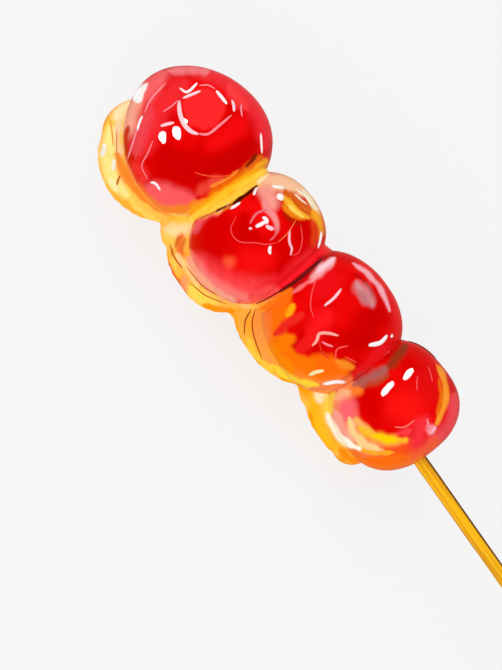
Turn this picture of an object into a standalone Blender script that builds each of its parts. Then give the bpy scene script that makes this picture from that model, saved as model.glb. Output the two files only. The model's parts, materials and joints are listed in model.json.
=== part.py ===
"""Tanghulu: four candied hawthorns pressed together on a bamboo skewer, lying in the sugar that ran off.

Metres, +Z up. The skewer lies along X with its free end towards +X. The origin is on the floor, under
the skewer, halfway along the row of fruit. The sweet rests on the hardened sugar's flat underside.
"""

import math
from collections import namedtuple

import bmesh
import bpy
from mathutils import Vector

MM = 0.001

# ---------------------------------------------------------------- driving dimensions
GAP = 0.3 * MM  # kept between solids that touch on the real sweet
FLOOR_FILM = 1.5 * MM  # sugar under the lowest fruit
SKEWER_LENGTH = 200 * MM
SKEWER_RADIUS = 1.5 * MM
SKEWER_POINT = 9 * MM  # length of the tapered point, hidden in the first fruit
SKEWER_POINT_RADIUS = 0.4 * MM
SKEWER_END_ROUND = 0.4 * MM
TIP_PAST_CENTRE = 5 * MM  # how far the point goes beyond the first fruit's middle

# half_length is along the skewer and radius across it. fullness 2 is an ellipsoid, and more is squarer.
# taper is how much fuller the shoulder towards the handle is. side is how far off the skewer the fruit
# sits, and press how deep the fruit before it is pressed into it.
Fruit = namedtuple("Fruit", "name half_length radius fullness taper side press")
FRUITS = (
    Fruit("berry_1", 15.7 * MM, 15.4 * MM, 2.10, 0.065, -0.2 * MM, 0.0),
    Fruit("berry_2", 12.5 * MM, 14.2 * MM, 2.50, 0.016, -1.4 * MM, 2.6 * MM),
    Fruit("berry_3", 14.7 * MM, 14.3 * MM, 2.30, 0.053, 1.5 * MM, 4.0 * MM),
    Fruit("berry_4", 13.0 * MM, 13.2 * MM, 2.40, 0.030, 2.7 * MM, 5.2 * MM),
)
# The eye of each fruit, in the same order: the way it faces, and its radius.
Eye = namedtuple("Eye", "facing radius")
EYES = (
    Eye((-0.24, -0.06, 0.97), 4.6 * MM),
    Eye((-0.18, -0.28, 0.94), 2.6 * MM),
    Eye((0.12, -0.66, 0.74), 2.0 * MM),
    Eye((0.25, 0.95, 0.15), 3.0 * MM),
)
LUMP_PHASES = (0.4, 2.1, 3.6, 5.2)
LUMP_SHARE = 0.012  # how far the skin strays from the plain form, as a share of its radius
LUMP_WAVES = (3.1, 2.3, 2.7)
EYE_DEPTH = 0.22  # share of the eye's radius
EYE_LIP_HEIGHT = 0.09
EYE_LIP_WIDTH = 0.24
SEPALS = 5
SEPAL_SHARE = 0.35

# The run-off sugar: a lobe in front of and under each fruit. x and y place it, and rx, ry and height size it.
Lobe = namedtuple("Lobe", "x y rx ry height fullness")
LOBES = (
    Lobe(-35.6 * MM, 0.0, 14.9 * MM, 15.9 * MM, 12.5 * MM, 2.0),
    Lobe(-10.2 * MM, 0.0, 12.7 * MM, 15.0 * MM, 11.5 * MM, 2.5),
    Lobe(10.2 * MM, 1.7 * MM, 15.4 * MM, 12.3 * MM, 11.0 * MM, 2.0),
    Lobe(34.6 * MM, 2.4 * MM, 10.8 * MM, 10.8 * MM, 11.5 * MM, 2.5),
)
LOBE_SUNK = 1.2 * MM  # the lobes' middles lie this far below the floor that cuts them flat
LOBE_SLOPE = 0.6  # 0.5 is a half ellipsoid, and more is a flatter edge
WEB_HALF_WIDTH = 6.5 * MM
WEB_HEIGHT = 14 * MM
WEB_SHARE = 0.82  # a web's width, as a share of the narrower of the two lobes that it joins
COLLAR_WAISTS = (9.9 * MM, 10.2 * MM)  # radii of the sugar collars in the first two crevices
COLLAR_HALF_WIDTH = 4.0 * MM
COLLAR_FLARE = 1.0 * MM  # how much wider the collar is at its ends than at its waist

FRUIT_SEGMENTS, FRUIT_RINGS = 36, 22
CUTTER_SEGMENTS, CUTTER_RINGS = 30, 18
LOBE_SEGMENTS, LOBE_RINGS = 40, 16
WEB_SEGMENTS, WEB_RINGS = 24, 12
COLLAR_SEGMENTS, COLLAR_PROFILE_POINTS = 40, 7
SKEWER_SIDES = 20
POLE_CROWDING = 1.35  # above 1 the rings of a fruit gather round its eye, where the relief is
SHARP_ANGLE = math.radians(35)
SLAB_MARGIN = 20 * MM

# ---------------------------------------------------------------- sizes that follow
AXIS_HEIGHT = max(fruit.radius for fruit in FRUITS) + FLOOR_FILM
ROW_LENGTH = sum(2 * fruit.half_length - fruit.press for fruit in FRUITS)


def fruit_centres():
    """Where each fruit's middle is, with the row's own middle at x = 0."""
    centres = []
    reached = -ROW_LENGTH / 2
    for fruit in FRUITS:
        x = reached - fruit.press + fruit.half_length
        centres.append(Vector((x, fruit.side, AXIS_HEIGHT)))
        reached = x + fruit.half_length
    return centres


CENTRES = fruit_centres()
TIP_X = CENTRES[0].x - TIP_PAST_CENTRE


# ---------------------------------------------------------------- materials
def material(name, colour, roughness, transmission=0.0, coat=0.0):
    made = bpy.data.materials.new(name)
    made.use_nodes = True
    shader = made.node_tree.nodes["Principled BSDF"]
    shader.inputs["Base Color"].default_value = (*colour, 1.0)
    shader.inputs["Roughness"].default_value = roughness
    shader.inputs["Metallic"].default_value = 0.0
    shader.inputs["Transmission Weight"].default_value = transmission
    shader.inputs["Coat Weight"].default_value = coat
    made.diffuse_color = (*colour, 1.0)
    return made


def hawthorn_red():
    return material("hawthorn_red", (0.72, 0.01, 0.015), 0.25, coat=1.0)


def amber_sugar():
    return material("amber_sugar", (0.95, 0.42, 0.05), 0.08, transmission=0.8)


def bamboo():
    return material("bamboo", (0.72, 0.46, 0.06), 0.5)


# ---------------------------------------------------------------- scene helpers
def clear_scene():
    for item in list(bpy.data.objects):
        bpy.data.objects.remove(item, do_unlink=True)


def new_collection(name):
    made = bpy.data.collections.new(name)
    bpy.context.scene.collection.children.link(made)
    return made


def add_object(name, work, collection, finish=None):
    """Turns a bmesh into a named object, shaded smooth except across sharp edges."""
    bmesh.ops.recalc_face_normals(work, faces=work.faces)
    mesh = bpy.data.meshes.new(name)
    work.to_mesh(mesh)
    work.free()
    mesh.shade_smooth()
    mesh.set_sharp_from_angle(angle=SHARP_ANGLE)
    made = bpy.data.objects.new(name, mesh)
    collection.objects.link(made)
    if finish:
        mesh.materials.append(finish)
    else:
        made.hide_render = True
        made.display_type = "WIRE"
    return made


def cut(target, cutter):
    boolean = target.modifiers.new("cut_by_" + cutter.name, "BOOLEAN")
    boolean.operation = "DIFFERENCE"
    boolean.solver = "EXACT"
    boolean.object = cutter


# ---------------------------------------------------------------- fruit
def bump(distance, width):
    """A smooth hill of height 1 at no distance, which has died out a few widths away."""
    return math.exp(-((distance / width) ** 2))


def eye_relief(arc, turn, radius):
    """Height of the eye's sunken floor and lip of dried sepals, at an arc's length from its middle."""
    share = arc / radius
    sepals = 1 + SEPAL_SHARE * math.cos(SEPALS * turn)
    lip = EYE_LIP_HEIGHT * sepals * bump(share - 1, EYE_LIP_WIDTH)
    floor = EYE_DEPTH * max(0.0, 1 - share**4)
    return radius * (lip - floor)


def form_radius(fruit, direction, grown):
    """Distance from the middle of a tapered superellipsoid to its surface, grown by a margin."""
    across = math.hypot(direction.y, direction.z)
    along_share = abs(direction.x) / (fruit.half_length + grown)
    across_share = across / (fruit.radius + grown)
    plain = (along_share**fruit.fullness + across_share**fruit.fullness) ** (-1 / fruit.fullness)
    return plain * (1 + 2 * fruit.taper * direction.x * across)


def lumpiness(phase, direction):
    total = 0.0
    for step, (rate, part) in enumerate(zip(LUMP_WAVES, direction), start=1):
        total += math.sin(rate * part + phase * step)
    return 1 + LUMP_SHARE * total


def fruit_mesh(index, segments, rings, grown=0.0):
    """A sphere whose pole faces the fruit's eye, with each point then set on the fruit's own form."""
    fruit, eye, phase, centre = FRUITS[index], EYES[index], LUMP_PHASES[index], CENTRES[index]
    work = bmesh.new()
    bmesh.ops.create_uvsphere(work, u_segments=segments, v_segments=rings, radius=1.0)
    to_eye = Vector((0, 0, 1)).rotation_difference(Vector(eye.facing).normalized())
    for vertex in work.verts:
        turn = math.atan2(vertex.co.y, vertex.co.x)
        polar = math.pi * (math.acos(max(-1.0, min(1.0, vertex.co.z))) / math.pi) ** POLE_CROWDING
        across = math.sin(polar)
        direction = to_eye @ Vector((across * math.cos(turn), across * math.sin(turn), math.cos(polar)))
        distance = form_radius(fruit, direction, grown) * lumpiness(phase, direction)
        if not grown:
            distance += eye_relief(polar * distance, turn, eye.radius)
        vertex.co = centre + direction * distance
    return work


# ---------------------------------------------------------------- sugar
def superellipse(turn, fullness):
    """Distance to the edge of a rounded square of half width 1, in a direction."""
    return (abs(math.cos(turn)) ** fullness + abs(math.sin(turn)) ** fullness) ** (-1 / fullness)


def lobe_mesh(lobe, segments, rings):
    """A low mound with a superelliptic plan, whose lower half is cut off later by the floor."""
    work = bmesh.new()
    bmesh.ops.create_uvsphere(work, u_segments=segments, v_segments=rings, radius=1.0)
    for vertex in work.verts:
        turn = math.atan2(vertex.co.y, vertex.co.x)
        share = math.hypot(vertex.co.x, vertex.co.y)
        corner = superellipse(turn, lobe.fullness)
        rise = max(0.0, 1 - share**2) ** LOBE_SLOPE
        x = lobe.x + lobe.rx * corner * share * math.cos(turn)
        y = lobe.y + lobe.ry * corner * share * math.sin(turn)
        z = math.copysign((lobe.height + LOBE_SUNK) * rise, vertex.co.z) - LOBE_SUNK
        vertex.co = Vector((x, y, z))
    return work


def web_between(first, second, x, side):
    """The mound that fills the notch between two neighbouring lobes."""
    reach = WEB_SHARE * min(first.ry - first.y, second.ry - second.y) + side
    return Lobe(x, side, WEB_HALF_WIDTH, reach, WEB_HEIGHT, 2.0)


def crevices():
    """(x, side of the fruit before, side of the fruit after) of each place where two fruits meet."""
    places = []
    for index in range(1, len(FRUITS)):
        before, after = FRUITS[index - 1], FRUITS[index]
        x = CENTRES[index - 1].x + before.half_length - after.press / 2
        places.append((x, before.side, after.side))
    return places


def turned_along_x(profile, segments):
    """Rings round the skewer's height from (x, side, radius) triples, bridged and closed at the two ends."""
    work = bmesh.new()
    loops = []
    for x, side, radius in profile:
        ring = []
        for step in range(segments):
            turn = 2 * math.pi * step / segments
            place = (x, side + radius * math.cos(turn), AXIS_HEIGHT + radius * math.sin(turn))
            ring.append(work.verts.new(place))
        loops.append(ring)
    for ring, following in zip(loops, loops[1:]):
        for step in range(segments):
            ahead = (step + 1) % segments
            work.faces.new((ring[step], ring[ahead], following[ahead], following[step]))
    work.faces.new(loops[0])
    work.faces.new(reversed(loops[-1]))
    return work


def collar_mesh(x, side_before, side_after, waist):
    """A waisted ring of sugar that leans from one fruit's middle to the next one's."""
    profile = []
    for step in range(COLLAR_PROFILE_POINTS):
        share = 2 * step / (COLLAR_PROFILE_POINTS - 1) - 1
        side = side_before + (side_after - side_before) * (share + 1) / 2
        profile.append((x + share * COLLAR_HALF_WIDTH, side, waist + COLLAR_FLARE * share**2))
    return turned_along_x(profile, COLLAR_SEGMENTS)


def floor_slab(cutters):
    """A block under the floor, which gives the sugar its flat underside."""
    work = bmesh.new()
    bmesh.ops.create_cube(work, size=1.0)
    depth = max(lobe.height for lobe in LOBES) + SLAB_MARGIN
    size = Vector((ROW_LENGTH + 2 * SLAB_MARGIN, 4 * SLAB_MARGIN, depth))
    for vertex in work.verts:
        vertex.co = Vector((vertex.co.x * size.x, vertex.co.y * size.y, (vertex.co.z - 0.5) * size.z))
    return add_object("floor_slab", work, cutters)


def join_as_one(pieces, name, collection, finish):
    """One closed solid from a collection of overlapping ones, which are then removed."""
    joined = pieces.objects[0]
    rest = new_collection(name + "_rest")
    for piece in list(pieces.objects)[1:]:
        pieces.objects.unlink(piece)
        rest.objects.link(piece)
    union = joined.modifiers.new("join", "BOOLEAN")
    union.operation = "UNION"
    union.solver = "EXACT"
    union.operand_type = "COLLECTION"
    union.collection = rest
    graph = bpy.context.evaluated_depsgraph_get()
    mesh = bpy.data.meshes.new_from_object(joined.evaluated_get(graph))
    for piece in [joined, *rest.objects]:
        bpy.data.objects.remove(piece, do_unlink=True)
    bpy.data.collections.remove(rest)
    bpy.data.collections.remove(pieces)
    mesh.name = name
    mesh.materials.clear()
    mesh.materials.append(finish)
    made = bpy.data.objects.new(name, mesh)
    collection.objects.link(made)
    return made


def make_sugar(parts, cutters, finish, fruit_cutters):
    """The amber run-off: a lobe under each fruit, webs between the lobes, and collars in the crevices."""
    pieces = new_collection("sugar_pieces")
    for lobe in LOBES:
        add_object("lobe", lobe_mesh(lobe, LOBE_SEGMENTS, LOBE_RINGS), pieces)
    for index, (x, side_before, side_after) in enumerate(crevices()):
        web = web_between(LOBES[index], LOBES[index + 1], x, (side_before + side_after) / 2)
        add_object("web", lobe_mesh(web, WEB_SEGMENTS, WEB_RINGS), pieces)
    for (x, side_before, side_after), waist in zip(crevices(), COLLAR_WAISTS):
        add_object("collar", collar_mesh(x, side_before, side_after, waist), pieces)
    sugar = join_as_one(pieces, "sugar", parts, finish)
    for cutter in [floor_slab(cutters), *fruit_cutters]:
        cut(sugar, cutter)


# ---------------------------------------------------------------- skewer
def skewer_profile(grown=0.0):
    """(x, side, radius) triples from the point to the free end, grown by a margin."""
    end = TIP_X + SKEWER_LENGTH
    radius = SKEWER_RADIUS + grown
    return [
        (TIP_X - grown, 0.0, SKEWER_POINT_RADIUS + grown),
        (TIP_X + SKEWER_POINT, 0.0, radius),
        (end - SKEWER_END_ROUND + grown, 0.0, radius),
        (end + grown, 0.0, radius - SKEWER_END_ROUND),
    ]


def skewer_mesh(grown=0.0):
    return turned_along_x(skewer_profile(grown), SKEWER_SIDES)


# ---------------------------------------------------------------- assembly
def build():
    clear_scene()
    parts = new_collection("tanghulu")
    cutters = new_collection("cutters")
    red = hawthorn_red()
    bore = add_object("skewer_bore", skewer_mesh(GAP), cutters)
    fruit_cutters = []
    for index, fruit in enumerate(FRUITS):
        form = fruit_mesh(index, CUTTER_SEGMENTS, CUTTER_RINGS, GAP)
        fruit_cutters.append(add_object(fruit.name + "_room", form, cutters))
    for index, fruit in enumerate(FRUITS):
        made = add_object(fruit.name, fruit_mesh(index, FRUIT_SEGMENTS, FRUIT_RINGS), parts, red)
        cut(made, bore)
        if index:
            cut(made, fruit_cutters[index - 1])
    add_object("skewer", skewer_mesh(), parts, bamboo())
    make_sugar(parts, cutters, amber_sugar(), fruit_cutters)


build()
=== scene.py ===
# %% [markdown]
# # A tanghulu, dressed
# Four hawthorns dipped in boiled sugar sit pressed together on a bamboo stick. The sugar that ran off
# them has set as amber lobes along one side. The frame below holds their true sizes and places, and
# each cell after it dresses one piece or sets up one finish.

# %% Load the fixed frame
import json
import math

import bpy
import numpy as np
from mathutils import Matrix, Vector

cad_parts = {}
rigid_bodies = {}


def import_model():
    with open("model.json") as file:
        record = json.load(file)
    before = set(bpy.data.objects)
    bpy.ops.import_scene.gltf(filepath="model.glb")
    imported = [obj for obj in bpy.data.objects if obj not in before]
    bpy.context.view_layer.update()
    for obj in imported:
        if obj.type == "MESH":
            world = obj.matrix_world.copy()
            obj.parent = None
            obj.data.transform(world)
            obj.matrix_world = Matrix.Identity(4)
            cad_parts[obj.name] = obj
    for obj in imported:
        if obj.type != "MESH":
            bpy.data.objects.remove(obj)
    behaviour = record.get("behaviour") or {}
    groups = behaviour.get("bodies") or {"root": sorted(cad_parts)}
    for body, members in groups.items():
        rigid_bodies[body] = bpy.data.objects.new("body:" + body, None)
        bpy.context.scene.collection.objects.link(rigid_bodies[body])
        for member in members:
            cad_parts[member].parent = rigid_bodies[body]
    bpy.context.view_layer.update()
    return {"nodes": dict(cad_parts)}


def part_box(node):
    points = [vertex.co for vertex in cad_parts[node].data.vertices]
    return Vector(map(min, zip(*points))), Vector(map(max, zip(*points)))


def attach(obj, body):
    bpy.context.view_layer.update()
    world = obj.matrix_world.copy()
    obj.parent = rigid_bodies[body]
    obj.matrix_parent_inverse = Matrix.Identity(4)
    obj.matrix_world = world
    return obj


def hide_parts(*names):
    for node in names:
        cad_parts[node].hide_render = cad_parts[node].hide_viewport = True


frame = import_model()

MM = 0.001
BODY = "root"
FRUITS = ["berry_1", "berry_2", "berry_3", "berry_4"]
print("pieces in the frame:", sorted(frame["nodes"]))

# %% [markdown]
# ## The view
# The sweet is seen from well above its front side, with the picture turned so that the stick runs from
# the upper left to the lower right. A long lens keeps the row of fruit from tapering. The camera is
# placed with three directions worked out from two angles, which is plainer than aiming it by hand.

# %% Camera
ELEVATION = math.radians(62)
STICK_SLANT = math.radians(54.8)
LENS = 100
SENSOR = 36
VIEW_HEIGHT = 144 * MM
LOOK_AT = Vector((7.63, 0.0, 16.9)) * MM
BELOW_AXIS = 14.2 * MM

to_camera = Vector((0, -math.cos(ELEVATION), math.sin(ELEVATION)))
up_slope = Vector((0, math.sin(ELEVATION), math.cos(ELEVATION)))
along = Vector((1, 0, 0))
camera_right = along * math.cos(STICK_SLANT) + up_slope * math.sin(STICK_SLANT)
camera_up = up_slope * math.cos(STICK_SLANT) - along * math.sin(STICK_SLANT)
camera_distance = LENS / SENSOR * VIEW_HEIGHT
camera_place = LOOK_AT - up_slope * BELOW_AXIS + to_camera * camera_distance

bpy.ops.object.camera_add()
camera = bpy.context.object
camera.name = "camera"
turn = Matrix((camera_right, camera_up, to_camera)).transposed()
camera.matrix_world = Matrix.Translation(camera_place) @ turn.to_4x4()
camera.data.lens = LENS
camera.data.sensor_width = SENSOR
camera.data.clip_start = 10 * MM
bpy.context.scene.camera = camera
print(f"camera {camera_distance / MM:.0f} mm from the sweet")

# %% [markdown]
# ## Where the picture says a thing is
# Many details are placed from the picture: so far along the stick, and so far down or up from it.
# A flat plan like that has no depth, so each place is carried along the line of sight until it meets the
# sweet's own surface. Seen from any side, the detail then still lies on what carries it.

# %% Places in the picture's plane
AXIS_HEIGHT = LOOK_AT.z


def in_view(along_mm, across_mm):
    """The point that the picture shows so far along the stick and across it, across being down positive."""
    return Vector((along_mm * MM, 0, AXIS_HEIGHT)) - up_slope * across_mm * MM


def line_of_sight(point):
    """The start and direction of the camera's ray through a point in the picture's plane."""
    return camera_place, (point - camera_place).normalized()


# %% [markdown]
# ## Modelling helpers
# Blender's operators act on whatever is selected, and the frame's pieces start out selected. Each step
# therefore clears the selection and picks its own object first. A modifier is applied as soon as it is
# set, so that the next one works on real points.

# %% Selecting, copying and applying
WELD_WITHIN = 0.01 * MM


def pick(piece):
    """Selects one piece alone and makes it the active one."""
    for thing in bpy.context.view_layer.objects:
        thing.select_set(False)
    piece.select_set(True)
    bpy.context.view_layer.objects.active = piece


def apply(piece, kind, **settings):
    """Adds a modifier, sets it and applies it."""
    pick(piece)
    modifier = piece.modifiers.new(kind.lower(), kind)
    for name, value in settings.items():
        setattr(modifier, name, value)
    bpy.ops.object.modifier_apply(modifier=modifier.name)


def in_edit_mode(piece, *steps):
    """Runs operators on all of a piece's points."""
    pick(piece)
    bpy.ops.object.mode_set(mode="EDIT")
    bpy.ops.mesh.select_all(action="SELECT")
    for step in steps:
        step()
    bpy.ops.object.mode_set(mode="OBJECT")


def copy_of(node, name):
    """A copy of a frame piece with a mesh of its own, whose loose triangles are joined into clean faces."""
    source = frame["nodes"][node]
    piece = bpy.data.objects.new(name, source.data.copy())
    bpy.context.scene.collection.objects.link(piece)
    piece.data.materials.clear()
    in_edit_mode(
        piece,
        lambda: bpy.ops.mesh.remove_doubles(threshold=WELD_WITHIN),
        lambda: bpy.ops.mesh.tris_convert_to_quads(),
    )
    return piece


def triangles(piece):
    """How many triangles a piece's faces come to."""
    return sum(len(face.vertices) - 2 for face in piece.data.polygons)


# %% [markdown]
# ## Finishes as arithmetic
# A finish is worked out from the place on the piece: how cloudy the skin is there, how near the bark of
# the stick. Nodes joined one by one would do it, but arithmetic reads better, so a small class wraps one
# output of a node and turns `a * b + c` into the nodes that compute it.

# %% The wire
# The Mix node has several inputs of each name, one for each kind of value, so its colours go by number.
FIRST_COLOUR = 6
SECOND_COLOUR = 7
MIXED_COLOUR = 2


def fill(socket, value):
    """Gives an input a number, a colour, a place or a wire."""
    if isinstance(value, Wire):
        value.material.node_tree.links.new(value.socket, socket)
    elif socket.type == "RGBA":
        socket.default_value = (*value, 1)
    else:
        socket.default_value = value


class Wire:
    """One output of a material's nodes. Arithmetic on it adds Math nodes."""

    def __init__(self, material, socket):
        self.material = material
        self.socket = socket

    def node(self, kind, settings, inputs, output=0):
        """Adds any node: its settings are set first, then its inputs take numbers or wires."""
        made = self.material.node_tree.nodes.new("ShaderNode" + kind)
        for name, value in settings.items():
            setattr(made, name, value)
        for name, value in inputs.items():
            fill(made.inputs[name], value)
        return Wire(self.material, made.outputs[output])

    def maths(self, operation, *operands):
        """Adds a Math node."""
        return self.node("Math", {"operation": operation}, dict(enumerate(operands)))

    def __add__(self, other):
        return self.maths("ADD", self, other)

    def __sub__(self, other):
        return self.maths("SUBTRACT", self, other)

    def __rsub__(self, other):
        return self.maths("SUBTRACT", other, self)

    def __mul__(self, other):
        return self.maths("MULTIPLY", self, other)

    def step(self, low, high):
        """0 up to low, 1 from high on, with a soft S between. It also runs from high to low."""
        inputs = {"Value": self, "From Min": low, "From Max": high}
        return self.node("MapRange", {"interpolation_type": "SMOOTHSTEP"}, inputs)

    def noise(self, size, detail):
        """Cloudy noise on a place, with patches of about the size given."""
        return self.node("TexNoise", {}, {"Vector": self, "Scale": 1 / size, "Detail": detail}, "Fac")

    def dot(self, direction):
        """How far the wire's place lies along a fixed direction."""
        return self.node("VectorMath", {"operation": "DOT_PRODUCT"}, {0: self, 1: direction}, "Value")

    def mixed(self, first, second):
        """The first colour where the wire is 0, the second where it is 1."""
        inputs = {"Factor": self, FIRST_COLOUR: first, SECOND_COLOUR: second}
        return self.node("Mix", {"data_type": "RGBA"}, inputs, MIXED_COLOUR)


def rgb(red, green, blue):
    """A colour given as it looks on a screen, from 0 to 255, as light amounts."""
    shares = (value / 255 for value in (red, green, blue))
    return tuple(s / 12.92 if s <= 0.04045 else ((s + 0.055) / 1.055) ** 2.4 for s in shares)


def new_finish(name):
    """An empty material with its Principled shader, and a wire that carries the place on the piece."""
    material = bpy.data.materials.new(name)
    material.use_nodes = True
    shader = material.node_tree.nodes["Principled BSDF"]
    coordinates = material.node_tree.nodes.new("ShaderNodeTexCoord")
    print("finish:", name)
    return material, shader, Wire(material, coordinates.outputs["Object"])


def set_inputs(shader, **inputs):
    """Numbers, colours and wires for a shader's inputs, with _ for each space in an input's name."""
    for name, value in inputs.items():
        fill(shader.inputs[name.replace("_", " ")], value)


# %% [markdown]
# ## Floor and light
# A pale floor runs far out, so that no edge of it shows from any side. It is a light table: most of its
# brightness is its own, which keeps shadows faint and shines up through the amber. A plain matt floor is
# simpler, but under a red ball it turns pink.

# %% Floor
FLOOR_SIZE = 6.0
FLOOR_DROP = 0.05 * MM
FLOOR_PAINT = 0.12
FLOOR_GLOW = 0.795

bpy.ops.mesh.primitive_plane_add(size=FLOOR_SIZE, location=(0, 0, -FLOOR_DROP))
floor = bpy.context.object
floor.name = "floor"
floor_finish, floor_shader, place = new_finish("light_table")
set_inputs(
    floor_shader,
    Base_Color=(FLOOR_PAINT, FLOOR_PAINT, FLOOR_PAINT),
    Roughness=0.9,
    Specular_IOR_Level=0.0,
    Emission_Color=(1, 1, 1),
    Emission_Strength=FLOOR_GLOW,
)
floor.data.materials.append(floor_finish)
floor.visible_glossy = False

# %% [markdown]
# Glossy sugar mirrors whatever stands in front of it, and a bright wall there would lie over the red like
# milk. So the sky is an even white as light, but dim and rosy in the gloss, amber towards the picture's
# foot, and nearly black on the camera's side, as a polarising filter would leave it.

# %% Surroundings
SKY_LIGHT = 0.7
SKY_IN_GLOSS = rgb(190, 120, 112)
AMBER_IN_GLOSS = rgb(214, 116, 36)
AMBER_EDGES = (0.1, 0.6)
DARK_IN_GLOSS = rgb(46, 34, 32)
DARK_EDGES = (-0.4, 0.1)

world = bpy.data.worlds.new("studio")
bpy.context.scene.world = world
world.use_nodes = True
sky = world.node_tree.nodes["Background"]
sky_place = world.node_tree.nodes.new("ShaderNodeTexCoord")
looking = Wire(world, sky_place.outputs["Generated"])
to_the_camera = looking.dot(to_camera)
to_the_foot = looking.dot(-up_slope)
far_side = to_the_foot.step(*AMBER_EDGES).mixed(SKY_IN_GLOSS, AMBER_IN_GLOSS)
mirrored = to_the_camera.step(*DARK_EDGES).mixed(far_side, DARK_IN_GLOSS)
in_gloss = looking.node("LightPath", {}, {}, "Is Glossy Ray")
set_inputs(sky, Color=in_gloss.mixed((SKY_LIGHT, SKY_LIGHT, SKY_LIGHT), mirrored), Strength=1.0)

# %% [markdown]
# Even light from all round would leave the balls looking flat, so two big soft lamps give them their form.
# Sharp lamps would do that too, but with hard shadows that the picture doesn't have. Neither the lamps nor
# the table show in the gloss.

# %% Soft lamps
LAMP_DISTANCE = 600 * MM
LAMP_SIZE = 420 * MM
ROW_MIDDLE = Vector((0, 0, AXIS_HEIGHT))


def aimed(direction, side):
    """The turn of a lamp that lies in a direction and shines back, with its own X axis along a side."""
    x = (side - direction * side.dot(direction)).normalized()
    return Matrix((x, direction.cross(x), direction)).transposed()


def area_lamp(name, place, turn, width, height, watts):
    """An oval area lamp."""
    bpy.ops.object.light_add(type="AREA", location=place, rotation=turn.to_euler())
    lamp = bpy.context.object
    lamp.name = name
    lamp.data.shape = "ELLIPSE"
    lamp.data.size = width
    lamp.data.size_y = height
    lamp.data.energy = watts
    return lamp


def soft_lamp(name, right, down, share):
    """A soft lamp in a direction of the picture, giving its share of a white surface's full light."""
    direction = along * right - up_slope * down + to_camera * math.sqrt(1 - right**2 - down**2)
    watts = share * math.pi**2 * LAMP_DISTANCE**2
    place = ROW_MIDDLE + direction * LAMP_DISTANCE
    lamp = area_lamp(name, place, aimed(direction, along), LAMP_SIZE, LAMP_SIZE, watts)
    lamp.visible_glossy = False
    print(f"{name} at elevation {math.degrees(math.asin(direction.z)):.0f} degrees")


soft_lamp("key_lamp", -0.4, -0.5, 0.32)
soft_lamp("fill_lamp", 0.28, 0.45, 0.26)
bpy.context.scene.view_settings.view_transform = "Standard"

# %% [markdown]
# ## Drawing on the sweet
# The sugar's colour changes in strokes: amber runs along a rim, a pale band crosses a shoulder. Many strokes
# are painted light too: painted shade in the seams and on the fruit, painted highlights, and painted
# reflections of the pale floor. Placing each by its three coordinates would be guesswork. They are drawn
# instead as lines in the picture's plane, in millimetres along the stick and across it, and carried by sight
# onto the piece.

# %% Lines on a surface
LINE_STEP = 0.4
INWARD_STEPS = 1000


def smooth_line(points, step=LINE_STEP):
    """A curve through the points, with a point about every step."""
    if len(points) == 1:
        return [Vector(points[0])]
    knots = [Vector(point) for point in points]
    knots = [2 * knots[0] - knots[1], *knots, 2 * knots[-1] - knots[-2]]
    line = []
    for before, start, end, after in zip(knots, knots[1:], knots[2:], knots[3:]):
        pieces = max(1, round((end - start).length / step))
        for index in range(pieces):
            share = index / pieces
            pull = 0.5 * (end - before) * share
            bend = (before - 2.5 * start + 2 * end - 0.5 * after) * share**2
            twist = 0.5 * (3 * start - before - 3 * end + after) * share**3
            line.append(start + pull + bend + twist)
    return line + [knots[-2]]


def laid_on(piece, points):
    """The line's places on a piece as the camera sees them, each with the surface's direction there.

    A point drawn just outside the piece goes in towards its middle until it meets the visible edge."""
    middle = sum((Vector(corner) for corner in piece.bound_box), Vector()) / 8
    laid = []
    for drawn in smooth_line(points):
        for step in range(INWARD_STEPS):
            start, direction = line_of_sight(in_view(*drawn).lerp(middle, step / INWARD_STEPS))
            hit, place, normal, _ = piece.ray_cast(start, direction)
            if hit:
                break
        laid.append((place, normal))
    return laid


# %% [markdown]
# Paint is kept as a colour for each point of the fine mesh, because a finish made of dozens of stroke
# shapes in nodes would be slow and hard to read. Each point is first carried by sight onto the picture's
# plane, and a stroke covers what lies near its line there, so a band along a ball's rim is as wide as it
# was drawn. It thins at its ends. It fades with a ragged edge where the surface turns away from the
# picture, and behind and under the fruit, where the picture doesn't reach. The same slow waver that makes
# that edge ragged keeps a stroke's own edges from being ruled lines.

# %% Paint
PAINT_STEP = 0.8
# The paint holds the sugar's and the skin's own colours and painted light alike: painted shade, painted
# highlights and painted reflections.
PAINT = "colour_and_painted_light"
COVER = "colour_and_painted_light_cover"
WAVER = 0.4
WAVER_SHARE = 0.25
WAVER_RATES = ((0.9, 0.7), (-0.6, 1.1), (1.7, -1.3), (-1.1, 2.3))
WAVER_SHIFT = 1.7
THIN_END = 0.45
END_BLUNTNESS = 4
TINY = 1e-6
TURNED_AWAY = (-0.4, 0.0)
RAGGED = 0.16
BEHIND = (2, 6)
UNDER = (14, 17)


def as_seen(piece):
    """Where each point of a piece shows in the picture's plane, in mm, and how well the picture shows it."""
    count = len(piece.data.vertices)
    places, normals = np.empty(count * 3), np.empty(count * 3)
    piece.data.vertices.foreach_get("co", places)
    piece.data.vertices.foreach_get("normal", normals)
    camera_at, toward = np.array(camera_place), np.array(to_camera)
    sight = camera_at - places.reshape(-1, 3)
    reach = (camera_at - np.array((0, 0, AXIS_HEIGHT))) @ toward / (sight @ toward)
    on_plane = camera_at - sight * reach[:, None] - np.array((0, 0, AXIS_HEIGHT))
    drawn = np.column_stack((on_plane[:, 0], on_plane @ -np.array(up_slope))) / MM
    facing = np.sum(normals.reshape(-1, 3) * sight, axis=1) / np.linalg.norm(sight, axis=1)
    _, back, height = places.reshape(-1, 3).T / MM
    hidden = soft_step(back, *BEHIND) * (1 - soft_step(height, *UNDER))
    return drawn, soft_step(facing + RAGGED * waver(drawn), *TURNED_AWAY) * (1 - hidden)


def soft_step(values, low, high):
    """0 up to low, 1 from high on, with a soft S between."""
    share = np.clip((values - low) / (high - low), 0, 1)
    return share * share * (3 - 2 * share)


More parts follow.
